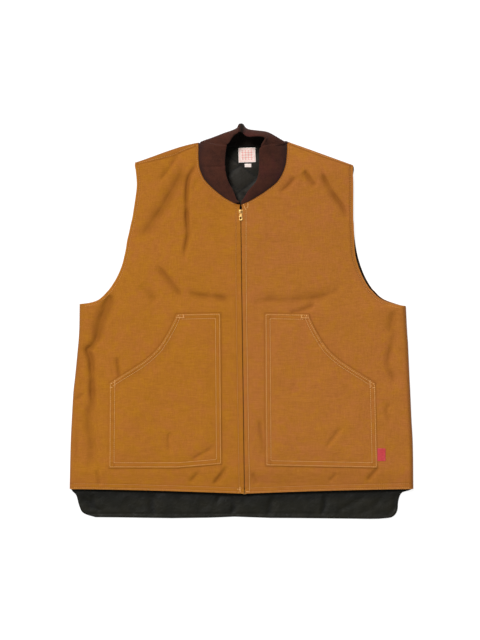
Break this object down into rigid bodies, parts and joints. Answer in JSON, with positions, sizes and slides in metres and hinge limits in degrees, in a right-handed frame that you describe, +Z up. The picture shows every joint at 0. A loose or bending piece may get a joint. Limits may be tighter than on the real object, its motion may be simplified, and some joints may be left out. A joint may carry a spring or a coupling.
{
  "type": "utility work vest",
  "caption": "Sleeveless zip-front canvas work vest with rib-knit collar, slant-mouth patch pockets, quilted lining and drop tail, lying flat on its back.",
  "frame": {"origin": "centre of the vest's outline, on the surface it lies on", "axes": "+Z up out of the front, +Y from the hem to the collar, +X to the wearer's left"},
  "size_m": [0.688, 0.79, 0.0561],
  "materials": {
    "canvas": "tan brown cotton duck canvas, matt, fine weave",
    "lining": "black nylon taffeta, diamond quilted, faint sheen",
    "rib": "dark brown rib knit, matt",
    "brass": "polished brass",
    "tape": "brown woven zip tape",
    "label": "off-white woven satin label, no text",
    "flag": "red woven ribbon, bare"
  },
  "bodies": {
    "vest": {"back_panel": "canvas", "back_lining": "lining", "front_right": "canvas", "front_left": "canvas", "pocket_right": "canvas", "pocket_left": "canvas", "collar": "rib", "zip_tape_right": "tape", "zip_tape_left": "tape", "zip_teeth": "brass", "zip_box": "brass", "zip_slider": "brass", "neck_label": "label", "size_tab": "label", "pocket_flag": "flag"},
    "pull_tab": {"pull_tab": "brass"}
  },
  "joints": [
    {"name": "pull_tab_swing", "type": "hinge", "parent": "vest", "child": "pull_tab", "pos_m": [-0.0013, 0.22, 0.02791], "axis": [-1, 0, 0], "range_deg": [0, 150]}
  ]
}
